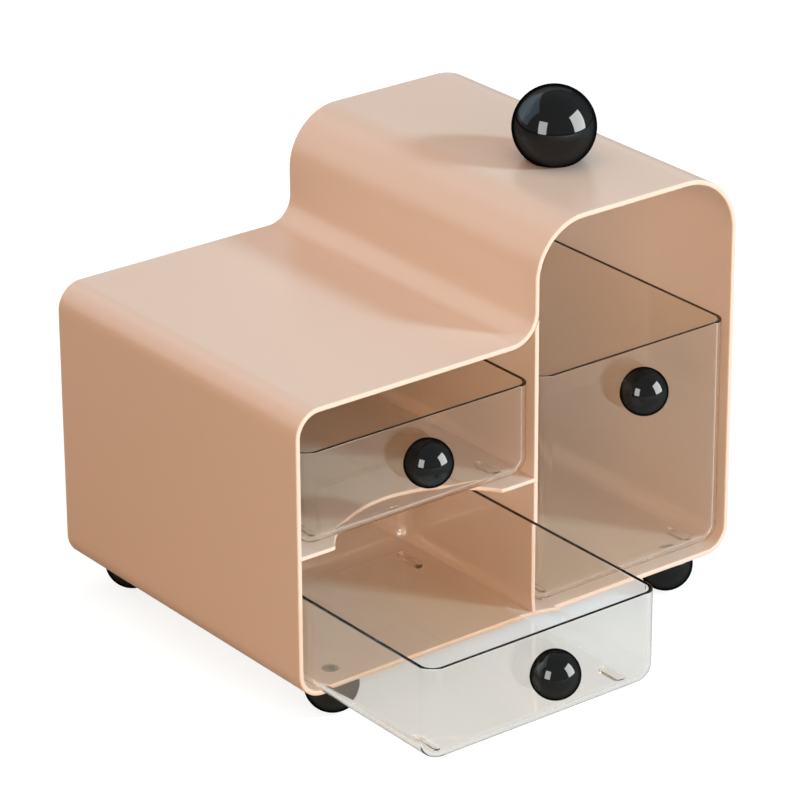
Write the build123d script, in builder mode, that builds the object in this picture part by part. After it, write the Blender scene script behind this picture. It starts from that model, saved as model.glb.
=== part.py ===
from build123d import *
import os
from math import sqrt

# Drawer storage box: a stepped housing with three clear trays, ball knobs and ball feet.
# Millimetres, +Z up, -Y towards the user.
# The origin is on the ground, under the middle of the part with its lower drawer pulled out.

# Housing shell
housing_width = 256.0
housing_depth = 187.5
low_height = 142.0
tall_height = 196.5
riser_offset = 7.0
wall = 2.5
bottom_radius = 13.0
low_shoulder_radius = 13.0
step_foot_share = 0.24
step_head_share = 0.515
tall_shoulder_radius = 31.0
rim_round = 0.8

# Panels inside the shell: they slide into grooves from the rear, and the back panel closes it
back_thickness = 2.5
rebate_depth = 1.2
divider_thickness = 2.4
shelf_thickness = 2.0
groove_depth = 1.0
panel_fit = 0.1
divider_tongue_share = 0.65
edge_round = 0.6

# Finger scallop in the front edge of the shelf
scallop_width = 96.0
scallop_depth = 26.0
scallop_corner_radius = 8.0

# Trays
tray_wall = 2.0
tray_side_gap = 0.95
tray_rear_gap = 0.7
glide_gap = 0.25
finger_room = 18.6
tray_corner_radius = 7.8
tray_keel_radius = 9.8
tray_rim_round = 0.7
skid_length = 17.0
skid_width = 4.0
skid_height = 2.0
skid_side_inset = 12.5
skid_end_inset = 18.0
lower_drawer_pull_length = 90.0

# Ball knobs, cut flat where they meet the tray
knob_diameter = 23.0
knob_stand_off = 6.0
knob_drop = 19.5

# Ball on the tall roof
top_ball_diameter = 40.0
top_ball_stand_off = 16.2
top_ball_setback = 61.0

# Ball feet, cut flat under the floor and where they stand
foot_diameter = 26.6
foot_stand_off = 4.7
foot_flat = 0.3
foot_side_inset = 28.0
foot_end_inset = 13.3

# Fasteners: pan-head screws in threaded inserts, countersunk screws in the feet
screw_diameter = 4.0
screw_reach = 9.0
pan_head_diameter = 7.6
pan_head_height = 2.4
flat_head_diameter = 7.4
flat_head_angle = 90.0
drive_width = 1.1
drive_length = 4.0
drive_depth = 1.2
tip_chamfer = 0.6
insert_diameter = 6.0
insert_length = 8.0
insert_recess = 0.2
insert_fit = 0.02
thread_fit = 0.05
hole_clearance = 0.25
bore_end_room = 1.2
cut_overrun = 1.0

# Places worked out from the sizes above
half_width = housing_width / 2
drawer_reach = lower_drawer_pull_length + knob_stand_off + knob_diameter / 2
mid_y = drawer_reach / 2
front_y = mid_y - housing_depth / 2
back_y = mid_y + housing_depth / 2
panel_y = back_y - back_thickness
under_z = foot_stand_off + foot_diameter / 2 - foot_flat
low_z = under_z + low_height
tall_z = under_z + tall_height
floor_z = under_z + wall
step_rise = tall_height - low_height
step_foot_radius = step_rise * step_foot_share
step_head_radius = step_rise * step_head_share
level_height = (low_height - 2 * wall - shelf_thickness) / 2
shelf_under_z = floor_z + level_height
shelf_top_z = shelf_under_z + shelf_thickness
left_bay_x = -half_width + wall
divider_left_x = riser_offset
divider_right_x = divider_left_x + divider_thickness
right_bay_x = half_width - wall
tray_depth = panel_y - tray_rear_gap - front_y
low_tray_width = divider_left_x - left_bay_x - 2 * tray_side_gap
tall_tray_width = right_bay_x - divider_right_x - 2 * tray_side_gap
left_bay_mid_x = (left_bay_x + divider_left_x) / 2
right_bay_mid_x = (divider_right_x + right_bay_x) / 2
low_tray_height = level_height - glide_gap - finger_room
lower_base_z = floor_z + glide_gap
upper_base_z = shelf_top_z + glide_gap
tall_tray_height = upper_base_z + low_tray_height - lower_base_z
top_ball_x = (riser_offset + half_width) / 2
top_ball_y = front_y + top_ball_setback
foot_x = half_width - foot_side_inset
foot_spread = housing_depth - 2 * foot_end_inset
shank_radius = screw_diameter / 2
hole_radius = shank_radius + hole_clearance
thread_radius = shank_radius + thread_fit
insert_bore_radius = insert_diameter / 2 + insert_fit
bore_depth = screw_reach + bore_end_room

os.makedirs("parts", exist_ok=True)


def save(part, name):
    part.label = name
    export_step(part, f"parts/{name}.step")


def seat_plane(seat, direction):
    # Plane through a seat point whose own Y axis points along the direction
    across = Vector(1, 0, 0)
    return Plane(origin=seat, x_dir=across, z_dir=across.cross(Vector(*direction)))


def housing_outline():
    # Front view of the shell, from the lower left corner round to the low shoulder
    return FilletPolyline(
        (-half_width, under_z),
        (half_width, under_z),
        (half_width, tall_z),
        (riser_offset, tall_z),
        (riser_offset, low_z),
        (-half_width, low_z),
        radius=[
            bottom_radius,
            bottom_radius,
            tall_shoulder_radius,
            step_head_radius,
            step_foot_radius,
            low_shoulder_radius,
        ],
        close=True,
    )


def bored_ball(seat, direction, diameter, stand_off, bore_radius, depth, end_flat=0):
    # Ball cut flat on its seat, with a blind bore from the seat and a small flat at its far end
    radius = diameter / 2
    seat_radius = sqrt(radius**2 - stand_off**2)
    tip = stand_off + radius - end_flat
    tip_radius = sqrt(radius**2 - (radius - end_flat) ** 2)
    with BuildPart() as ball:
        with BuildSketch(seat_plane(seat, direction)):
            with BuildLine():
                Polyline((0, tip), (0, depth), (bore_radius, depth), (bore_radius, 0), (seat_radius, 0))
                ThreePointArc((seat_radius, 0), (radius, stand_off), (tip_radius, tip))
                if end_flat:
                    Line((tip_radius, tip), (0, tip))
            make_face()
        revolve(axis=Axis(seat, direction))
    return ball.part


def threaded_insert(seat, direction):
    # Plain sleeve with a grip groove round its middle, set just below the seat
    outer = insert_diameter / 2
    bore = thread_radius
    groove = (outer - bore) / 4
    end = insert_recess + insert_length
    low_lip = insert_recess + insert_length / 3
    high_lip = end - insert_length / 3
    with BuildPart() as insert:
        with BuildSketch(seat_plane(seat, direction)):
            with BuildLine():
                Polyline(
                    (bore, insert_recess),
                    (outer, insert_recess),
                    (outer, low_lip),
                    (outer - groove, low_lip),
                    (outer - groove, high_lip),
                    (outer, high_lip),
                    (outer, end),
                    (bore, end),
                    close=True,
                )
            make_face()
        revolve(axis=Axis(seat, direction))
    return insert.part


def cross_drive(head_top, direction):
    # Cross recess, to be cut from the top of a screw head
    with BuildPart() as drive:
        with BuildSketch(Plane(origin=head_top, x_dir=(1, 0, 0), z_dir=direction)):
            Rectangle(drive_length, drive_width)
            Rectangle(drive_width, drive_length)
        extrude(amount=drive_depth)
    return drive.part


def pan_screw(seat, direction, grip):
    # Pan-head screw: the head lies behind the seat, the shank goes through the grip and on by its reach
    head = pan_head_diameter / 2
    end = grip + screw_reach
    flat = head / 2
    head_top = Vector(*seat) - Vector(*direction) * pan_head_height
    with BuildPart() as screw:
        with BuildSketch(seat_plane(seat, direction)):
            with BuildLine():
                Polyline((flat, -pan_head_height), (0, -pan_head_height), (0, end))
                Polyline(
                    (0, end),
                    (shank_radius - tip_chamfer, end),
                    (shank_radius, end - tip_chamfer),
                    (shank_radius, 0),
                    (head, 0),
                    (head, -pan_head_height / 3),
                )
                RadiusArc((head, -pan_head_height / 3), (flat, -pan_head_height), head)
            make_face()
        revolve(axis=Axis(seat, direction))
        add(cross_drive(head_top, direction), mode=Mode.SUBTRACT)
    return screw.part


def flat_screw(x, y):
    # Countersunk screw down through the floor into a foot, its head level with the floor
    head = flat_head_diameter / 2
    neck_z = floor_z - (head - shank_radius)
    end_z = under_z - screw_reach
    with BuildPart() as screw:
        with BuildSketch(Plane(origin=(x, y, 0), x_dir=(1, 0, 0), z_dir=(0, -1, 0))):
            with BuildLine():
                Polyline(
                    (0, floor_z),
                    (head, floor_z),
                    (shank_radius, neck_z),
                    (shank_radius, end_z + tip_chamfer),
                    (shank_radius - tip_chamfer, end_z),
                    (0, end_z),
                    close=True,
                )
            make_face()
        revolve(axis=Axis((x, y, 0), (0, 0, 1)))
        add(cross_drive((x, y, floor_z), (0, 0, -1)), mode=Mode.SUBTRACT)
    return screw.part


def tray(mid_x, width, base_z, height, pull):
    # Clear tray with rounded keels along its sides, standing on four moulded skids
    tray_front_y = front_y - pull
    keel_z = base_z + skid_height
    rim_z = base_z + height
    left = mid_x - width / 2
    right = mid_x + width / 2
    with BuildPart() as body:
        with BuildSketch(Plane.XZ.offset(-tray_front_y)):
            with BuildLine():
                FilletPolyline(
                    (left, rim_z),
                    (left, keel_z),
                    (right, keel_z),
                    (right, rim_z),
                    radius=[0, tray_keel_radius, tray_keel_radius, 0],
                    close=True,
                )
            make_face()
        extrude(amount=-tray_depth)
        ends = body.faces().filter_by(Axis.Y)
        turns = ends.edges().filter_by(lambda e: e.center().Z < rim_z - cut_overrun)
        fillet(turns, radius=tray_corner_radius)
        offset(amount=-tray_wall, openings=body.faces().sort_by(Axis.Z)[-1])
        fillet(body.faces().sort_by(Axis.Z)[-1].edges(), radius=tray_rim_round)
        with BuildSketch(Plane.XY.offset(keel_z + tray_wall / 2)):
            with Locations((mid_x, tray_front_y + tray_depth / 2)):
                with GridLocations(width - 2 * skid_side_inset, tray_depth - 2 * skid_end_inset, 2, 2):
                    SlotOverall(skid_length, skid_width, rotation=90)
        extrude(amount=-(skid_height + tray_wall / 2))
        with BuildSketch(Plane.XZ.offset(-tray_front_y)):
            with Locations((mid_x, rim_z - knob_drop)):
                Circle(hole_radius)
        extrude(amount=-2 * tray_wall, mode=Mode.SUBTRACT)
    return body.part


# Housing shell: stepped tube, rebated at the rear for the back panel, grooved for divider and shelf
with BuildPart() as housing_shell:
    with BuildSketch(Plane.XZ.offset(-front_y)):
        with BuildLine():
            housing_outline()
        make_face()
        offset(amount=-wall, mode=Mode.SUBTRACT)
    extrude(amount=-housing_depth)
    front_rim = housing_shell.faces().sort_by(Axis.Y)[0]
    fillet(front_rim.edges(), radius=rim_round)
    with BuildSketch(Plane.XZ.offset(-panel_y)):
        with BuildLine():
            housing_outline()
        make_face()
        offset(amount=-(wall - rebate_depth), mode=Mode.REPLACE)
    extrude(amount=-back_thickness, mode=Mode.SUBTRACT)
    with BuildSketch(Plane.XZ.offset(-front_y)):
        with Locations((divider_left_x - panel_fit, floor_z - groove_depth)):
            Rectangle(
                divider_thickness + 2 * panel_fit,
                groove_depth + panel_fit,
                align=(Align.MIN, Align.MIN),
            )
        with Locations((left_bay_x - groove_depth, shelf_under_z - panel_fit)):
            Rectangle(
                groove_depth + panel_fit,
                shelf_thickness + 2 * panel_fit,
                align=(Align.MIN, Align.MIN),
            )
    extrude(amount=-housing_depth, mode=Mode.SUBTRACT)
    with Locations((0, mid_y, floor_z)):
        with GridLocations(2 * foot_x, foot_spread, 2, 2):
            CounterSinkHole(
                radius=hole_radius,
                counter_sink_radius=flat_head_diameter / 2 + hole_clearance,
                depth=wall + cut_overrun,
                counter_sink_angle=flat_head_angle,
            )
    with Locations((top_ball_x, top_ball_y, tall_z)):
        Hole(radius=hole_radius, depth=2 * wall)
save(housing_shell.part, "housing_shell")

# Back panel, seated on the shoulder of the rebate
with BuildPart() as back_panel:
    with BuildSketch(Plane.XZ.offset(-panel_y)):
        with BuildLine():
            housing_outline()
        make_face()
        offset(amount=-(wall - rebate_depth + panel_fit), mode=Mode.REPLACE)
    extrude(amount=-back_thickness)
    fillet(back_panel.faces().sort_by(Axis.Y)[-1].edges(), radius=edge_round)
save(back_panel.part, "back_panel")

# Centre divider, from the groove in the floor up to the hollow under the step
with BuildPart() as centre_divider:
    with BuildSketch(Plane.XZ.offset(-front_y)):
        divider_low_z = floor_z - groove_depth
        divider_top_z = low_z + step_foot_radius * divider_tongue_share
        with Locations((divider_left_x, divider_low_z)):
            Rectangle(divider_thickness, divider_top_z - divider_low_z, align=(Align.MIN, Align.MIN))
        with Locations((riser_offset - step_foot_radius, low_z + step_foot_radius)):
            Circle(step_foot_radius + wall + panel_fit, mode=Mode.SUBTRACT)
        with Locations((divider_left_x, shelf_under_z - panel_fit)):
            Rectangle(
                groove_depth,
                shelf_thickness + 2 * panel_fit,
                align=(Align.MIN, Align.MIN),
                mode=Mode.SUBTRACT,
            )
    extrude(amount=front_y - panel_y)
    divider_front = centre_divider.faces().sort_by(Axis.Y)[0]
    fillet(divider_front.edges().filter_by(Axis.Z), radius=edge_round)
save(centre_divider.part, "centre_divider")

# Shelf between the left drawers, with its finger scallop
with BuildPart() as drawer_shelf:
    shelf_left_x = left_bay_x - groove_depth + panel_fit
    shelf_right_x = divider_left_x + groove_depth - panel_fit
    half_chord = scallop_width / 2
    scallop_start = left_bay_mid_x - half_chord
    scallop_end = left_bay_mid_x + half_chord
    with BuildSketch(Plane.XY.offset(shelf_under_z)):
        with BuildLine():
            Polyline(
                (scallop_start, front_y),
                (shelf_left_x, front_y),
                (shelf_left_x, panel_y),
                (shelf_right_x, panel_y),
                (shelf_right_x, front_y),
                (scallop_end, front_y),
            )
            ThreePointArc(
                (scallop_end, front_y),
                (left_bay_mid_x, front_y + scallop_depth),
                (scallop_start, front_y),
            )
        make_face()
    extrude(amount=shelf_thickness)
    upright = drawer_shelf.edges().filter_by(Axis.Z)
    tab_corners = upright.filter_by_position(Axis.X, scallop_start - edge_round, scallop_end + edge_round)
    fillet(tab_corners, radius=scallop_corner_radius)
    scallop_end_y = front_y + scallop_depth
    front_part = drawer_shelf.edges().filter_by_position(Axis.Y, front_y - edge_round, scallop_end_y)
    level = front_part.filter_by(lambda e: e.bounding_box().size.Z < edge_round)
    fillet(level.filter_by(Axis.Y, reverse=True), radius=edge_round)
save(drawer_shelf.part, "drawer_shelf")

# Ball on the roof, held by a screw from below
roof_seat = (top_ball_x, top_ball_y, tall_z)
up = (0, 0, 1)
top_ball = bored_ball(roof_seat, up, top_ball_diameter, top_ball_stand_off, insert_bore_radius, bore_depth)
save(top_ball, "top_ball")
save(threaded_insert(roof_seat, up), "top_ball_insert")
save(pan_screw((top_ball_x, top_ball_y, tall_z - wall), up, wall), "top_ball_screw")

# Feet and their screws
front_foot_y = mid_y - foot_spread / 2
rear_foot_y = mid_y + foot_spread / 2
foot_places = {
    "front_left": (-foot_x, front_foot_y),
    "front_right": (foot_x, front_foot_y),
    "rear_left": (-foot_x, rear_foot_y),
    "rear_right": (foot_x, rear_foot_y),
}
down = (0, 0, -1)
foot_screws = []
for place, (x, y) in foot_places.items():
    foot_seat = (x, y, under_z)
    foot = bored_ball(foot_seat, down, foot_diameter, foot_stand_off, thread_radius, bore_depth, foot_flat)
    save(foot, f"foot_{place}")
    foot_screws.append(flat_screw(x, y))
save(Compound(children=foot_screws), "foot_screws")

# Drawers: tray, knob, insert and screw
drawers = {
    "upper": (left_bay_mid_x, low_tray_width, upper_base_z, low_tray_height, 0),
    "lower": (left_bay_mid_x, low_tray_width, lower_base_z, low_tray_height, lower_drawer_pull_length),
    "tall": (right_bay_mid_x, tall_tray_width, lower_base_z, tall_tray_height, 0),
}
out = (0, -1, 0)
for name, (mid_x, width, base_z, height, pull) in drawers.items():
    knob_z = base_z + height - knob_drop
    knob_seat = (mid_x, front_y - pull, knob_z)
    screw_seat = (mid_x, front_y - pull + tray_wall, knob_z)
    save(tray(mid_x, width, base_z, height, pull), f"{name}_tray")
    knob = bored_ball(knob_seat, out, knob_diameter, knob_stand_off, insert_bore_radius, bore_depth)
    save(knob, f"{name}_knob")
    save(threaded_insert(knob_seat, out), f"{name}_knob_insert")
    save(pan_screw(screw_seat, out, tray_wall), f"{name}_knob_screw")
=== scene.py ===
from math import acos, cos, pi, radians, sin, sqrt, tan

import bmesh
import bpy
from mathutils import Matrix, Vector


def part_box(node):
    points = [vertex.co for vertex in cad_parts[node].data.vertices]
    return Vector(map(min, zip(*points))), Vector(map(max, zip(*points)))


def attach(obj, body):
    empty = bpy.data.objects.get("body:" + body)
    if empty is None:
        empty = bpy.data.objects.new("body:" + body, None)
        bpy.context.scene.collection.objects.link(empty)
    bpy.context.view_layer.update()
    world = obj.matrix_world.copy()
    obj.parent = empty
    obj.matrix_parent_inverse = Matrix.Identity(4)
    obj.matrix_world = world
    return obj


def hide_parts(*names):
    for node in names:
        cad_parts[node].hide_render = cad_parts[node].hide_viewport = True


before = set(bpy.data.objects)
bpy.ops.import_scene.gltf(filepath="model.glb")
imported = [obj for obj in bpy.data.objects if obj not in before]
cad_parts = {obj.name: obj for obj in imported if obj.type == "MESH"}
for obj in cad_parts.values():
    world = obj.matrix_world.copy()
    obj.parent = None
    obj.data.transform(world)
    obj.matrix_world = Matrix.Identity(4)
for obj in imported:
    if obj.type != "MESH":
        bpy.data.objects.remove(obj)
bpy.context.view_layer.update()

MM = 0.001
X, Y, Z = 0, 1, 2

# Sizes of the housing, in metres
WALL = 2.5 * MM
REBATE = 1.2 * MM
PANEL = 2.5 * MM
PANEL_FIT = 0.1 * MM
RISER_X = 7.0 * MM
LOW_HEIGHT = 142.0 * MM
BOTTOM_RADIUS = 13.0 * MM
LOW_SHOULDER_RADIUS = 13.0 * MM
STEP_FOOT_RADIUS = 13.08 * MM
STEP_HEAD_RADIUS = 28.07 * MM
TALL_SHOULDER_RADIUS = 31.0 * MM
RIM_ROUND = 0.8 * MM
EDGE_ROUND = 0.6 * MM
BACK_EDGE_ROUND = 0.35 * MM
GROOVE_DEPTH = 1.0 * MM
SCALLOP_WIDTH = 96.0 * MM
SCALLOP_DEPTH = 26.0 * MM
TAB_RADIUS = 8.0 * MM

# Sizes of the trays
TRAY_WALL = 2.0 * MM
TRAY_CORNER = 7.8 * MM
TRAY_KEEL = 9.8 * MM
TRAY_RIM_ROUND = 0.7 * MM
SKID_LENGTH = 17.0 * MM
SKID_WIDTH = 4.0 * MM
SKID_HEIGHT = 2.0 * MM
SKID_SIDE_INSET = 12.5 * MM
SKID_END_INSET = 18.0 * MM

# Sizes of the balls and fasteners
KNOB_RADIUS = 11.5 * MM
KNOB_STAND_OFF = 6.0 * MM
TOP_BALL_RADIUS = 20.0 * MM
TOP_BALL_STAND_OFF = 16.2 * MM
FOOT_RADIUS = 13.3 * MM
FOOT_STAND_OFF = 4.7 * MM
FOOT_FLAT = 0.3 * MM
SEAT_ROUND = 0.35 * MM
INSERT_BORE = 3.02 * MM
PILOT_BORE = 2.05 * MM
BORE_DEPTH = 10.2 * MM
SHANK = 2.0 * MM
SCREW_HOLE = 2.25 * MM
SCREW_REACH = 9.0 * MM
PAN_RADIUS = 3.8 * MM
PAN_HEIGHT = 2.4 * MM
PAN_ROUND = 1.5 * MM
FLAT_HEAD_RADIUS = 3.7 * MM
HEAD_CLEARANCE = 0.25 * MM
DRIVE_LENGTH = 4.0 * MM
DRIVE_WIDTH = 1.1 * MM
DRIVE_DEPTH = 1.2 * MM
TIP_CHAMFER = 0.6 * MM

# How finely rounded edges and turned pieces are divided
LONG_EDGE_STEPS = 18
RIM_STEPS = 5
EDGE_STEPS = 4
FINE_EDGE_STEPS = 3
TAB_STEPS = 8
PAN_STEPS = 6
KEEL_STEPS = 14
TRAY_CORNER_STEPS = 12
ROD_SIDES = 48
SKID_SIDES = 32
SCALLOP_SIDES = 192
BALL_SIDES = 96
BALL_RINGS = 48

# Cutting tools reach well past the wall they cut
FLOOR_CUT = 2 * WALL
ROOF_CUT = 4 * WALL
GROOVE_RUN = 4 * WALL
SHELF_CUT = 20 * WALL
TRAY_CUT = 4 * TRAY_WALL
PAST_ENDS = 0.05 * SCALLOP_WIDTH
PAST_BACK = 0.01 * SCALLOP_DEPTH

# How near counts as the same place, how square as straight, and how sharp as a crease
NEAR = 0.02 * MM
WELD = NEAR / 10
SQUARE = 0.99
STRAIGHT = 0.999
CREASE = radians(30)
SOFT_BEND = 32
TRAY_SOFT_BEND = 40


# Modelling by hand: each helper is one or two strokes of the mesh tools

def begin():
    bpy.ops.object.select_all(action="DESELECT")


def hold(piece):
    begin()
    piece.select_set(True)
    bpy.context.view_layer.objects.active = piece


def place_in_mesh(piece, name):
    hold(piece)
    bpy.ops.object.transform_apply(location=True, rotation=True, scale=True)
    piece.name = name
    return piece


def block(name, low, high):
    begin()
    low, high = Vector(low), Vector(high)
    bpy.ops.mesh.primitive_cube_add(size=1, location=(low + high) / 2, scale=high - low)
    return place_in_mesh(bpy.context.object, name)


def rod(name, middle, radius, length, sides=ROD_SIDES, end_radius=None, turn=(0, 0, 0)):
    begin()
    end = radius if end_radius is None else end_radius
    bpy.ops.mesh.primitive_cone_add(
        vertices=sides, radius1=radius, radius2=end, depth=length, location=middle, rotation=turn
    )
    return place_in_mesh(bpy.context.object, name)


def open_mesh(piece):
    hold(piece)
    bpy.ops.object.mode_set(mode="EDIT")


def close_mesh():
    bpy.ops.object.mode_set(mode="OBJECT")


def choose_all():
    bpy.ops.mesh.select_all(action="SELECT")


def choose(kind, test):
    # Selects the corners, edges or faces that pass a test, and nothing else
    mesh = bpy.context.edit_object.data
    bpy.ops.mesh.select_mode(type=kind)
    bpy.ops.mesh.select_all(action="DESELECT")
    shape = bmesh.from_edit_mesh(mesh)
    parts = {"VERT": shape.verts, "EDGE": shape.edges, "FACE": shape.faces}[kind]
    for part in [p for p in parts if test(p)]:
        part.select_set(True)
    shape.select_flush_mode()
    bmesh.update_edit_mesh(mesh)


def middle_of(edge):
    return (edge.verts[0].co + edge.verts[1].co) / 2


def runs_along(edge, axis):
    way = edge.verts[1].co - edge.verts[0].co
    return abs(way[axis]) > STRAIGHT * way.length


def lies_at(edge, axis, value):
    return all(abs(v.co[axis] - value) < NEAR for v in edge.verts)


def is_crease(edge):
    return len(edge.link_faces) == 2 and edge.calc_face_angle() > CREASE


def looks_along(face, axis, way):
    return way * face.normal[axis] > SQUARE


def round_off(radius, steps):
    bpy.ops.mesh.bevel(offset=radius, offset_type="OFFSET", segments=steps, profile=0.5, affect="EDGES")


def extrude(y=0, z=0):
    bpy.ops.mesh.extrude_region_move(TRANSFORM_OT_translate={"value": (0, y, z)})


def apply_modifier(piece, kind, **settings):
    hold(piece)
    bpy.ops.object.modifier_add(type=kind)
    modifier = piece.modifiers[-1]
    for setting, value in settings.items():
        setattr(modifier, setting, value)
    bpy.ops.object.modifier_apply(modifier=modifier.name)


def carve(piece, tool, operation="DIFFERENCE"):
    apply_modifier(piece, "BOOLEAN", object=tool, operation=operation, solver="EXACT")
    bpy.data.objects.remove(tool)


def smooth(piece, bend=SOFT_BEND):
    hold(piece)
    bpy.ops.object.shade_smooth_by_angle(angle=radians(bend))
    apply_modifier(piece, "WEIGHTED_NORMAL", keep_sharp=True, weight=80)


def tidy_normals(piece):
    open_mesh(piece)
    choose_all()
    bpy.ops.mesh.remove_doubles(threshold=WELD)
    bpy.ops.mesh.normals_make_consistent(inside=False)
    close_mesh()


def copy_to(pattern, name, place, turn=(0, 0, 0)):
    piece = pattern.copy()
    piece.data = pattern.data.copy()
    bpy.context.scene.collection.objects.link(piece)
    piece.location = place
    piece.rotation_euler = turn
    return place_in_mesh(piece, name)


def box_middle(node):
    low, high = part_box(node)
    return (low + high) / 2


# The black balls, which alone mirror the windows
glossy_pieces = bpy.data.collections.new("glossy_pieces")


def dress(piece, material, body, slot, *nodes):
    piece.data.materials.clear()
    piece.data.materials.append(material)
    if slot == "ball_black":
        glossy_pieces.objects.link(piece)
    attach(piece, body)
    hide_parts(*nodes)


# Finishes

MARK_NAMES = ("Cloud", "Grain", "Smear")


def moulding_marks():
    # Cloud: broad unevenness of tone. Grain: fine skin of the mould. Smear: soft finger marks.
    group = bpy.data.node_groups.new("moulding_marks", "ShaderNodeTree")
    for name, size in zip(MARK_NAMES, (20.0, 900.0, 60.0)):
        socket = group.interface.new_socket(
            name=f"{name} Size", in_out="INPUT", socket_type="NodeSocketFloat"
        )
        socket.default_value = size
    for name in MARK_NAMES:
        group.interface.new_socket(name=name, in_out="OUTPUT", socket_type="NodeSocketFloat")
    nodes, links = group.nodes, group.links
    given = nodes.new("NodeGroupInput")
    out = nodes.new("NodeGroupOutput")
    place = nodes.new("ShaderNodeTexCoord")
    for name, detail, rough, low, high in (
        ("Cloud", 1.0, 0.4, 0.1, 0.9),
        ("Grain", 2.0, 0.5, 0.2, 0.8),
        ("Smear", 1.0, 0.4, 0.1, 0.9),
    ):
        noise = nodes.new("ShaderNodeTexNoise")
        noise.inputs["Detail"].default_value = detail
        noise.inputs["Roughness"].default_value = rough
        spread = nodes.new("ShaderNodeMapRange")
        spread.inputs["From Min"].default_value = low
        spread.inputs["From Max"].default_value = high
        links.new(place.outputs["Object"], noise.inputs["Vector"])
        links.new(given.outputs[f"{name} Size"], noise.inputs["Scale"])
        links.new(noise.outputs["Fac"], spread.inputs["Value"])
        links.new(spread.outputs["Result"], out.inputs[name])
    return group


MARKS = moulding_marks()


def marked_finish(name, tones, roughness, smear, grain_depth, sizes):
    # A Principled surface whose tone, gloss and skin come from the moulding marks
    material = bpy.data.materials.new(name)
    material.use_nodes = True
    nodes, links = material.node_tree.nodes, material.node_tree.links
    shader = nodes["Principled BSDF"]
    marks = nodes.new("ShaderNodeGroup")
    marks.node_tree = MARKS
    for mark, size in zip(MARK_NAMES, sizes):
        marks.inputs[f"{mark} Size"].default_value = size
    tone = nodes.new("ShaderNodeMix")
    tone.data_type = "RGBA"
    tone.inputs["A"].default_value = (*tones[0], 1)
    tone.inputs["B"].default_value = (*tones[1], 1)
    links.new(marks.outputs["Cloud"], tone.inputs["Factor"])
    links.new(tone.outputs["Result"], shader.inputs["Base Color"])
    gloss = nodes.new("ShaderNodeMapRange")
    gloss.inputs["To Min"].default_value = roughness
    gloss.inputs["To Max"].default_value = roughness + smear
    links.new(marks.outputs["Smear"], gloss.inputs["Value"])
    links.new(gloss.outputs["Result"], shader.inputs["Roughness"])
    bump = nodes.new("ShaderNodeBump")
    bump.inputs["Strength"].default_value = 1.0
    bump.inputs["Distance"].default_value = grain_depth
    links.new(marks.outputs["Grain"], bump.inputs["Height"])
    links.new(bump.outputs["Normal"], shader.inputs["Normal"])
    return material, shader


def painted_bounce_light(material, shader, colour):
    # Painted bounce light: diffuse rays see a near-white colour instead of the surface's own, so the shade
    # on neighbouring faces and inside the bays is painted lighter
    nodes, links = material.node_tree.nodes, material.node_tree.links
    tone = shader.inputs["Base Color"].links[0].from_socket
    path = nodes.new("ShaderNodeLightPath")
    paler = nodes.new("ShaderNodeMix")
    paler.data_type = "RGBA"
    paler.inputs["B"].default_value = (*colour, 1)
    links.new(path.outputs["Is Diffuse Ray"], paler.inputs["Factor"])
    links.new(tone, paler.inputs["A"])
    links.new(paler.outputs["Result"], shader.inputs["Base Color"])


def fade_gloss(material, shader, start, end):
    # A coat that fades towards the outline, so that a lamp behind a ball doesn't burn its edge away
    nodes, links = material.node_tree.nodes, material.node_tree.links
    outline = nodes.new("ShaderNodeLayerWeight")
    fade = nodes.new("ShaderNodeMapRange")
    fade.inputs["From Min"].default_value = start
    fade.inputs["From Max"].default_value = end
    fade.inputs["To Min"].default_value = 1.0
    fade.inputs["To Max"].default_value = 0.0
    links.new(outline.outputs["Facing"], fade.inputs["Value"])
    links.new(fade.outputs["Result"], shader.inputs["Coat Weight"])


def let_lamps_through(material, shader):
    # Shadow and diffuse rays pass straight on, so that lamps shine through the clear plastic
    nodes, links = material.node_tree.nodes, material.node_tree.links
    path = nodes.new("ShaderNodeLightPath")
    either = nodes.new("ShaderNodeMath")
    either.operation = "MAXIMUM"
    links.new(path.outputs["Is Shadow Ray"], either.inputs[0])
    links.new(path.outputs["Is Diffuse Ray"], either.inputs[1])
    straight = nodes.new("ShaderNodeBsdfTransparent")
    mix = nodes.new("ShaderNodeMixShader")
    links.new(either.outputs["Value"], mix.inputs["Fac"])
    links.new(shader.outputs["BSDF"], mix.inputs[1])
    links.new(straight.outputs["BSDF"], mix.inputs[2])
    links.new(mix.outputs["Shader"], nodes["Material Output"].inputs["Surface"])


def tint_by_depth(material, colour, density):
    nodes, links = material.node_tree.nodes, material.node_tree.links
    depth = nodes.new("ShaderNodeVolumeAbsorption")
    depth.inputs["Color"].default_value = (*colour, 1)
    depth.inputs["Density"].default_value = density
    links.new(depth.outputs["Volume"], nodes["Material Output"].inputs["Volume"])


peach, peach_shader = marked_finish(
    "peach_moulding",
    tones=((0.650, 0.411, 0.291), (0.666, 0.425, 0.303)),
    roughness=0.29, smear=0.05, grain_depth=0.002 * MM, sizes=(9.0, 700.0, 16.0),
)
# Painted bounce light: the peach throws near-white light onto the step and into the bays
painted_bounce_light(peach, peach_shader, colour=(0.96, 0.94, 0.92))

black, black_shader = marked_finish(
    "gloss_black_ball",
    tones=((0.002, 0.002, 0.002), (0.004, 0.004, 0.004)),
    roughness=0.05, smear=0.05, grain_depth=0.001 * MM, sizes=(60.0, 1500.0, 120.0),
)
black_shader.inputs["Specular IOR Level"].default_value = 0.0
black_shader.inputs["Coat IOR"].default_value = 1.4
black_shader.inputs["Coat Roughness"].default_value = 0.04
fade_gloss(black, black_shader, start=0.35, end=0.65)

steel, steel_shader = marked_finish(
    "zinc_screw",
    tones=((0.58, 0.58, 0.57), (0.68, 0.67, 0.64)),
    roughness=0.28, smear=0.12, grain_depth=0.004 * MM, sizes=(300.0, 3000.0, 400.0),
)
steel_shader.inputs["Metallic"].default_value = 1.0

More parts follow.
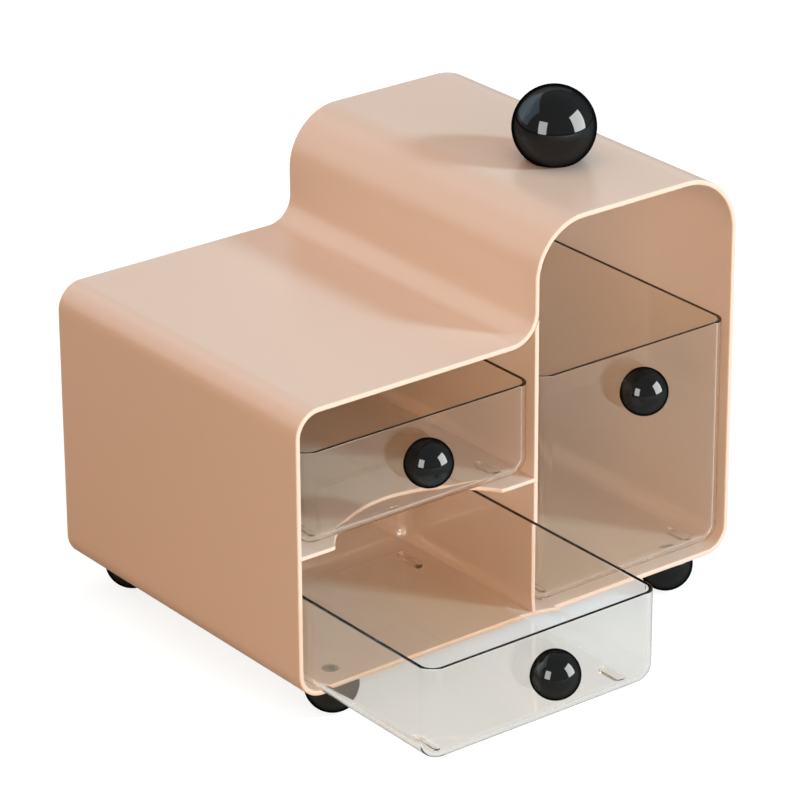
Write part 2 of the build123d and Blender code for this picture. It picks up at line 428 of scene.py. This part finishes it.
brass, brass_shader = marked_finish(
    "turned_brass",
    tones=((0.62, 0.43, 0.17), (0.72, 0.52, 0.24)),
    roughness=0.29, smear=0.12, grain_depth=0.004 * MM, sizes=(300.0, 3000.0, 400.0),
)
brass_shader.inputs["Metallic"].default_value = 1.0

clear, clear_shader = marked_finish(
    "clear_tea_plastic",
    tones=((0.985, 0.98, 0.97), (1.0, 1.0, 1.0)),
    roughness=0.01, smear=0.02, grain_depth=0.02 * MM, sizes=(18.0, 45.0, 70.0),
)
clear_shader.inputs["Transmission Weight"].default_value = 1.0
clear_shader.inputs["IOR"].default_value = 1.5
let_lamps_through(clear, clear_shader)
tint_by_depth(clear, colour=(0.72, 0.52, 0.20), density=50.0)


# Housing

shell_low, shell_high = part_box("housing_shell")
front_y, back_y = shell_low.y, shell_high.y
under_z, tall_z = shell_low.z, shell_high.z
low_z = under_z + LOW_HEIGHT
floor_z = under_z + WALL
panel_y = back_y - PANEL


def stepped_block(name, front, back, inset):
    # A block with a raised part on one side, its long edges rounded; inset makes a smaller copy inside it
    low = (shell_low.x + inset, front, under_z + inset)
    high = (shell_high.x - inset, back, low_z - inset)
    piece = block(name, low, high)
    step_x = RISER_X + inset
    open_mesh(piece)
    choose_all()
    bpy.ops.mesh.bisect(plane_co=(step_x, 0, 0), plane_no=(1, 0, 0))
    choose("FACE", lambda f: looks_along(f, Z, 1) and f.calc_center_median().x > step_x)
    extrude(z=tall_z - low_z)
    choose_all()
    bpy.ops.mesh.dissolve_limited(angle_limit=radians(1))
    corners = (
        (low[X], low[Z], BOTTOM_RADIUS - inset),
        (high[X], low[Z], BOTTOM_RADIUS - inset),
        (high[X], tall_z - inset, TALL_SHOULDER_RADIUS - inset),
        (step_x, tall_z - inset, STEP_HEAD_RADIUS - inset),
        (step_x, low_z - inset, STEP_FOOT_RADIUS + inset),
        (low[X], low_z - inset, LOW_SHOULDER_RADIUS - inset),
    )
    for corner_x, corner_z, radius in corners:
        choose("EDGE", lambda e: runs_along(e, Y) and lies_at(e, X, corner_x) and lies_at(e, Z, corner_z))
        round_off(radius, LONG_EDGE_STEPS)
    close_mesh()
    return piece


# Shell: a stepped tube, rebated at the rear
shell = stepped_block("shell_moulding", front_y, back_y, 0)
open_mesh(shell)
choose("FACE", lambda f: looks_along(f, Y, -1))
bpy.ops.mesh.inset(thickness=WALL)
bpy.ops.mesh.delete(type="FACE")
choose("FACE", lambda f: looks_along(f, Y, 1))
bpy.ops.mesh.inset(thickness=WALL - REBATE)
extrude(y=-PANEL)
bpy.ops.mesh.inset(thickness=REBATE)
bpy.ops.mesh.delete(type="FACE")
choose("EDGE", lambda e: e.is_boundary)
bpy.ops.mesh.bridge_edge_loops()
choose("EDGE", lambda e: lies_at(e, Y, front_y) and is_crease(e))
round_off(RIM_ROUND, RIM_STEPS)
choose("EDGE", lambda e: lies_at(e, Y, back_y) and is_crease(e))
round_off(BACK_EDGE_ROUND, FINE_EDGE_STEPS)
close_mesh()
tidy_normals(shell)

# Countersunk holes for the feet and a hole for the ball on the roof
foot_places = {}
for corner in ("front_left", "front_right", "rear_left", "rear_right"):
    middle = box_middle(f"foot_{corner}")
    foot_places[corner] = Vector((middle.x, middle.y, under_z))

sink_radius = FLAT_HEAD_RADIUS + HEAD_CLEARANCE
sink_depth = sink_radius - SCREW_HOLE
for place in foot_places.values():
    carve(shell, rod("screw_hole", place + Vector((0, 0, WALL / 2)), SCREW_HOLE, FLOOR_CUT))
    sink_middle = Vector((place.x, place.y, floor_z - sink_depth / 2))
    carve(shell, rod("countersink", sink_middle, SCREW_HOLE, sink_depth + NEAR, end_radius=sink_radius))

middle = box_middle("top_ball")
roof_seat = Vector((middle.x, middle.y, tall_z))
carve(shell, rod("roof_hole", roof_seat, SCREW_HOLE, ROOF_CUT))

# Grooves for the divider and the shelf, open at both ends
divider_low, divider_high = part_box("centre_divider")
shelf_low, shelf_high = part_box("drawer_shelf")
divider_fit = Vector((PANEL_FIT, GROOVE_RUN, 0))
groove_high = Vector((divider_high.x, panel_y, floor_z))
carve(shell, block("floor_groove", divider_low - divider_fit, groove_high + divider_fit))
shelf_fit = Vector((0, GROOVE_RUN, PANEL_FIT))
groove_low = Vector((shell_low.x + WALL - GROOVE_DEPTH, shelf_low.y, shelf_low.z))
groove_high = Vector((shell_low.x + WALL, panel_y, shelf_high.z))
carve(shell, block("side_groove", groove_low - shelf_fit, groove_high + shelf_fit))
smooth(shell)
dress(shell, peach, "housing", "housing_plastic", "housing_shell")

back = stepped_block("back_cover", panel_y, back_y, WALL - REBATE + PANEL_FIT)
open_mesh(back)
choose("EDGE", lambda e: lies_at(e, Y, back_y) and is_crease(e))
round_off(EDGE_ROUND, EDGE_STEPS)
close_mesh()
smooth(back)
dress(back, peach, "housing", "housing_plastic", "back_panel")

# Shelf with its finger scallop
shelf = block("shelf_panel", shelf_low, shelf_high)
scallop_radius = (SCALLOP_WIDTH**2 / 4 + SCALLOP_DEPTH**2) / (2 * SCALLOP_DEPTH)
bay_middle = (shell_low.x + WALL + RISER_X) / 2
scallop_y = front_y + SCALLOP_DEPTH - scallop_radius
scallop_middle = Vector((bay_middle, scallop_y, shelf_low.z))
carve(shelf, rod("scallop", scallop_middle, scallop_radius, SHELF_CUT, sides=SCALLOP_SIDES))
tab_turn = acos((scallop_radius - SCALLOP_DEPTH) / scallop_radius)


def is_tab_corner(edge):
    at_scallop = abs(middle_of(edge).x - bay_middle) < SCALLOP_WIDTH / 2 + PAST_ENDS
    return runs_along(edge, Z) and lies_at(edge, Y, front_y) and at_scallop


def is_front_edge(edge):
    at_front = middle_of(edge).y < front_y + SCALLOP_DEPTH + PAST_BACK
    return at_front and is_crease(edge) and not runs_along(edge, Z) and not runs_along(edge, Y)


open_mesh(shelf)
choose("EDGE", is_tab_corner)
round_off(TAB_RADIUS * tan(tab_turn / 2), TAB_STEPS)
choose("EDGE", is_front_edge)
round_off(EDGE_ROUND, EDGE_STEPS)
close_mesh()
tidy_normals(shelf)
smooth(shelf)
dress(shelf, peach, "housing", "housing_plastic", "drawer_shelf")


# Balls

def turned_ball(name, radius, stand_off, bore, end_flat=0):
    # A ball standing on its cut seat at the origin, bored from below
    begin()
    bpy.ops.mesh.primitive_uv_sphere_add(
        segments=BALL_SIDES, ring_count=BALL_RINGS, radius=radius, location=(0, 0, stand_off)
    )
    piece = place_in_mesh(bpy.context.object, name)
    seat_radius = sqrt(radius**2 - stand_off**2)
    tip = stand_off + radius - end_flat
    open_mesh(piece)
    choose_all()
    bpy.ops.mesh.bisect(plane_co=(0, 0, 0), plane_no=(0, 0, 1), use_fill=True, clear_inner=True)
    choose("FACE", lambda f: looks_along(f, Z, -1) and abs(f.calc_center_median().z) < NEAR)
    bpy.ops.mesh.inset(thickness=seat_radius - bore)
    extrude(z=BORE_DEPTH)
    if end_flat:
        choose_all()
        bpy.ops.mesh.bisect(plane_co=(0, 0, tip), plane_no=(0, 0, 1), use_fill=True, clear_outer=True)
    past_bore = (bore + seat_radius) / 2
    choose("EDGE", lambda e: is_crease(e) and lies_at(e, Z, 0) and middle_of(e).length > past_bore)
    round_off(SEAT_ROUND, FINE_EDGE_STEPS)
    close_mesh()
    tidy_normals(piece)
    return piece


top_ball = turned_ball("roof_ball", TOP_BALL_RADIUS, TOP_BALL_STAND_OFF, INSERT_BORE)
top_ball.location = roof_seat
place_in_mesh(top_ball, "roof_ball")
smooth(top_ball)
dress(top_ball, black, "housing", "ball_black", "top_ball")

foot_pattern = turned_ball("foot_pattern", FOOT_RADIUS, FOOT_STAND_OFF, PILOT_BORE, FOOT_FLAT)
for corner, place in foot_places.items():
    foot = copy_to(foot_pattern, f"ball_foot_{corner}", place, (pi, 0, 0))
    smooth(foot)
    dress(foot, black, "housing", "ball_black", f"foot_{corner}")
bpy.data.objects.remove(foot_pattern)

knob_pattern = turned_ball("knob_pattern", KNOB_RADIUS, KNOB_STAND_OFF, INSERT_BORE)


# Screws

def cross_recess(piece, top_z):
    for length, width in ((DRIVE_LENGTH, DRIVE_WIDTH), (DRIVE_WIDTH, DRIVE_LENGTH)):
        half = Vector((length / 2, width / 2, 0))
        low = Vector((0, 0, top_z - DRIVE_DEPTH)) - half
        high = Vector((0, 0, top_z + DRIVE_DEPTH)) + half
        carve(piece, block("driver_cut", low, high))


def add_shank(length):
    # Draws the shank down from the selected underside of a head, with a chamfered tip
    extrude(z=-(length - TIP_CHAMFER))
    extrude(z=-TIP_CHAMFER)
    share = (SHANK - TIP_CHAMFER) / SHANK
    bpy.ops.transform.resize(value=(share, share, 1))


pan_pattern = rod("pan_pattern", (0, 0, PAN_HEIGHT / 2), PAN_RADIUS, PAN_HEIGHT)
open_mesh(pan_pattern)
choose("EDGE", lambda e: is_crease(e) and lies_at(e, Z, PAN_HEIGHT))
round_off(PAN_ROUND, PAN_STEPS)
choose("FACE", lambda f: looks_along(f, Z, -1))
bpy.ops.mesh.inset(thickness=PAN_RADIUS - SHANK)
add_shank(SCREW_REACH + TRAY_WALL)
close_mesh()
cross_recess(pan_pattern, PAN_HEIGHT)

roof_screw = copy_to(pan_pattern, "roof_ball_bolt", roof_seat - Vector((0, 0, WALL)), (pi, 0, 0))
smooth(roof_screw)
dress(roof_screw, steel, "housing", "screw_steel", "top_ball_screw")

head_depth = FLAT_HEAD_RADIUS - SHANK
flat_pattern = rod("flat_pattern", (0, 0, -head_depth / 2), SHANK, head_depth, end_radius=FLAT_HEAD_RADIUS)
open_mesh(flat_pattern)
choose("FACE", lambda f: looks_along(f, Z, -1))
add_shank(SCREW_REACH + WALL - head_depth)
close_mesh()
cross_recess(flat_pattern, 0)
flat_screws = [
    copy_to(flat_pattern, f"foot_bolt_{corner}", Vector((place.x, place.y, floor_z)))
    for corner, place in foot_places.items()
]
hold(flat_screws[0])
for screw in flat_screws:
    screw.select_set(True)
bpy.ops.object.join()
foot_bolts = place_in_mesh(bpy.context.object, "foot_bolts")
smooth(foot_bolts)
dress(foot_bolts, steel, "housing", "screw_steel", "foot_screws")
bpy.data.objects.remove(flat_pattern)


# Drawers

def add_skids(piece, low, high):
    # Four long runners with round ends, moulded on under the tray
    height = SKID_HEIGHT + TRAY_WALL / 2
    pattern = rod("skid_pattern", (0, 0, 0), SKID_WIDTH / 2, height, sides=SKID_SIDES)
    stretch = (SKID_LENGTH - SKID_WIDTH) / 2
    open_mesh(pattern)
    for side in (-1, 1):
        choose("VERT", lambda v: side * v.co.y > NEAR)
        bpy.ops.transform.translate(value=(0, side * stretch, 0))
    close_mesh()
    for x in (low.x + SKID_SIDE_INSET, high.x - SKID_SIDE_INSET):
        for y in (low.y + SKID_END_INSET, high.y - SKID_END_INSET):
            carve(piece, copy_to(pattern, "skid", Vector((x, y, low.z + height / 2))), "UNION")
    bpy.data.objects.remove(pattern)


def clear_tray(name, node, knob_node):
    # A tray with a round keel on each side, and the place in its front where the knob sits
    low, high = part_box(node)
    keel_z = low.z + SKID_HEIGHT
    piece = block(name, (low.x, low.y, keel_z), high)
    open_mesh(piece)
    choose("EDGE", lambda e: runs_along(e, Y) and lies_at(e, Z, keel_z))
    round_off(TRAY_KEEL, KEEL_STEPS)
    choose(
        "EDGE",
        lambda e: (lies_at(e, Y, low.y) or lies_at(e, Y, high.y)) and not lies_at(e, Z, high.z),
    )
    round_off(TRAY_CORNER, TRAY_CORNER_STEPS)
    choose("FACE", lambda f: looks_along(f, Z, 1) and abs(f.calc_center_median().z - high.z) < NEAR)
    bpy.ops.mesh.delete(type="FACE")
    close_mesh()
    apply_modifier(
        piece, "SOLIDIFY", thickness=TRAY_WALL, offset=-1, use_even_offset=True, use_quality_normals=True
    )
    open_mesh(piece)
    choose("EDGE", lambda e: is_crease(e) and lies_at(e, Z, high.z))
    round_off(TRAY_RIM_ROUND, EDGE_STEPS)
    close_mesh()
    tidy_normals(piece)
    add_skids(piece, low, high)
    middle = box_middle(knob_node)
    seat = Vector((middle.x, low.y, middle.z))
    carve(piece, rod("knob_hole", seat, SCREW_HOLE, TRAY_CUT, turn=(pi / 2, 0, 0)))
    smooth(piece, TRAY_SOFT_BEND)
    return piece, seat


for level in ("upper", "lower", "tall"):
    body = f"{level}_drawer"
    tray, seat = clear_tray(f"{level}_drawer_tray", f"{level}_tray", f"{level}_knob")
    dress(tray, clear, body, "tray_clear", f"{level}_tray")
    knob = copy_to(knob_pattern, f"{level}_drawer_knob", seat, (pi / 2, 0, 0))
    smooth(knob)
    dress(knob, black, body, "ball_black", f"{level}_knob")
    screw_seat = seat + Vector((0, TRAY_WALL, 0))
    screw = copy_to(pan_pattern, f"{level}_drawer_bolt", screw_seat, (-pi / 2, 0, 0))
    smooth(screw)
    dress(screw, steel, body, "screw_steel", f"{level}_knob_screw")
bpy.data.objects.remove(knob_pattern)
bpy.data.objects.remove(pan_pattern)

# CAD pieces that stay
for node, material in (
    ("centre_divider", peach),
    ("top_ball_insert", brass),
    ("upper_knob_insert", brass),
    ("lower_knob_insert", brass),
    ("tall_knob_insert", brass),
):
    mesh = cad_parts[node].data
    mesh.materials.clear()
    mesh.materials.append(material)


# Floor and room: white to the eye and through clear plastic, at a plain level for the light they throw

FLOOR_SIZE = 12
FLOOR_BOUNCE = (0.48, 0.41, 0.34)
FLOOR_SEEN = (0.30, 0.30, 0.30)
FLOOR_GLOW_SEEN = 0.55
FLOOR_GLOW_CAMERA = 0.27
ROOM_LIGHT = 0.06
ROOM_MIRRORED = 0.4


def seen_directly(nodes, links, path):
    either = nodes.new("ShaderNodeMath")
    either.operation = "MAXIMUM"
    links.new(path.outputs["Is Camera Ray"], either.inputs[0])
    links.new(path.outputs["Is Transmission Ray"], either.inputs[1])
    return either.outputs["Value"]


def pale_floor():
    material = bpy.data.materials.new("pale_floor")
    material.use_nodes = True
    nodes, links = material.node_tree.nodes, material.node_tree.links
    nodes.remove(nodes["Principled BSDF"])
    path = nodes.new("ShaderNodeLightPath")
    seen = seen_directly(nodes, links, path)
    shade = nodes.new("ShaderNodeMix")
    shade.data_type = "RGBA"
    shade.inputs["A"].default_value = (*FLOOR_BOUNCE, 1)
    shade.inputs["B"].default_value = (*FLOOR_SEEN, 1)
    links.new(seen, shade.inputs["Factor"])
    matt = nodes.new("ShaderNodeBsdfDiffuse")
    links.new(shade.outputs["Result"], matt.inputs["Color"])
    direct = nodes.new("ShaderNodeMath")
    direct.operation = "MULTIPLY"
    direct.inputs[1].default_value = FLOOR_GLOW_CAMERA
    links.new(path.outputs["Is Camera Ray"], direct.inputs[0])
    lift = nodes.new("ShaderNodeMath")
    lift.operation = "MULTIPLY_ADD"
    lift.inputs[1].default_value = FLOOR_GLOW_SEEN
    links.new(seen, lift.inputs[0])
    links.new(direct.outputs["Value"], lift.inputs[2])
    glow = nodes.new("ShaderNodeEmission")
    links.new(lift.outputs["Value"], glow.inputs["Strength"])
    both = nodes.new("ShaderNodeAddShader")
    links.new(matt.outputs["BSDF"], both.inputs[0])
    links.new(glow.outputs["Emission"], both.inputs[1])
    links.new(both.outputs["Shader"], nodes["Material Output"].inputs["Surface"])
    return material


def white_room():
    world = bpy.data.worlds.new("studio")
    world.use_nodes = True
    nodes, links = world.node_tree.nodes, world.node_tree.links
    backdrop = nodes["Background"]
    backdrop.inputs["Color"].default_value = (1, 1, 1, 1)
    path = nodes.new("ShaderNodeLightPath")
    mirrored = nodes.new("ShaderNodeMapRange")
    mirrored.inputs["To Min"].default_value = ROOM_LIGHT
    mirrored.inputs["To Max"].default_value = ROOM_MIRRORED
    links.new(path.outputs["Is Glossy Ray"], mirrored.inputs["Value"])
    white = nodes.new("ShaderNodeMath")
    white.operation = "MAXIMUM"
    links.new(seen_directly(nodes, links, path), white.inputs[0])
    links.new(mirrored.outputs["Result"], white.inputs[1])
    links.new(white.outputs["Value"], backdrop.inputs["Strength"])
    return world


begin()
bpy.ops.mesh.primitive_plane_add(size=FLOOR_SIZE)
ground = bpy.context.object
ground.name = "studio_floor"
ground.data.materials.append(pale_floor())
bpy.context.scene.world = white_room()


# Lamps: name, azimuth and elevation in degrees, distance, width, height, radiance and colour

LOOK_AT = Vector((1.48 * MM, 53.75 * MM, 98.03 * MM))
WHITE = (1.0, 1.0, 1.0)

# Windows that show in the black balls
WINDOWS = (
    ("window_right", -55, 21, 1.7, 1.1, 1.2, 17.0, WHITE),
    ("window_left", -160, 17, 1.7, 0.7, 1.0, 13.0, WHITE),
)
# Soft sheen on the roofs and the step
SHEENS = (
    ("back_sheen", 82, 28, 2.7, 6.0, 2.4, 0.6, WHITE),
    ("step_sheen", 122, 34, 2.7, 3.2, 2.6, 1.15, (0.66, 1.0, 1.22)),
)
# Cool daylight from the front right, and soft light that fills the room
FILLS = (
    ("daylight", -56, 30, 3.4, 0.42, 0.42, 170.0, (0.50, 1.0, 1.42)),
    ("fill_top", -60, 80, 2.0, 1.8, 1.8, 1.3, (0.98, 0.96, 0.92)),
    ("fill_sky", 140, 62, 2.0, 1.8, 1.8, 0.9, WHITE),
    ("fill_step", 185, 48, 2.0, 1.2, 1.2, 0.4, WHITE),
    ("fill_camera", -127, 14, 2.4, 2.0, 1.0, 5.6, (1.06, 0.80, 0.56)),
    ("fill_front", -85, 10, 2.0, 1.2, 0.6, 13.0, (0.90, 1.06, 1.22)),
    ("fill_right", 5, 3, 2.2, 1.6, 0.35, 5.0, (1.73, 0.87, 0.26)),
    ("fill_back", 100, 14, 2.2, 2.0, 1.0, 2.6, (1.04, 0.98, 0.92)),
)


def softbox(name, azimuth, elevation, distance, width, height, radiance, colour):
    light = bpy.data.lights.new(name, "AREA")
    light.shape = "RECTANGLE"
    light.size, light.size_y = width, height
    light.energy = radiance * pi * width * height
    light.color = colour
    lamp = bpy.data.objects.new(name, light)
    bpy.context.scene.collection.objects.link(lamp)
    a, e = radians(azimuth), radians(elevation)
    away = Vector((cos(e) * cos(a), cos(e) * sin(a), sin(e)))
    lamp.location = LOOK_AT + away * distance
    lamp.rotation_euler = away.to_track_quat("Z", "Y").to_euler()
    return lamp


for row in WINDOWS:
    window = softbox(*row)
    window.visible_diffuse = False
    window.light_linking.receiver_collection = glossy_pieces
for row in SHEENS:
    softbox(*row).visible_diffuse = False
for row in FILLS:
    softbox(*row).visible_glossy = False


# Camera, where the photograph was taken from

CAMERA_AZIMUTH = radians(-37.532)
CAMERA_ELEVATION = radians(24.102)
CAMERA_ROLL = radians(-0.319)
CAMERA_DISTANCE = 2.0277
SENSOR_WIDTH = 36
FOCAL_LENGTH = 192.56
FAR_END = 20

away = Vector((
    sin(CAMERA_AZIMUTH) * cos(CAMERA_ELEVATION),
    -cos(CAMERA_AZIMUTH) * cos(CAMERA_ELEVATION),
    sin(CAMERA_ELEVATION),
))
side = (-away).cross(Vector((0, 0, 1))).normalized()
up = side.cross(-away)
rolled_side = cos(CAMERA_ROLL) * side + sin(CAMERA_ROLL) * up
rolled_up = cos(CAMERA_ROLL) * up - sin(CAMERA_ROLL) * side
camera_data = bpy.data.cameras.new("camera")
camera_data.sensor_width = SENSOR_WIDTH
camera_data.lens = FOCAL_LENGTH
camera_data.clip_end = FAR_END
camera = bpy.data.objects.new("camera", camera_data)
bpy.context.scene.collection.objects.link(camera)
camera.location = LOOK_AT + away * CAMERA_DISTANCE
camera.rotation_euler = Matrix((rolled_side, rolled_up, away)).transposed().to_euler()
bpy.context.scene.camera = camera
bpy.context.scene.view_settings.view_transform = "Standard"
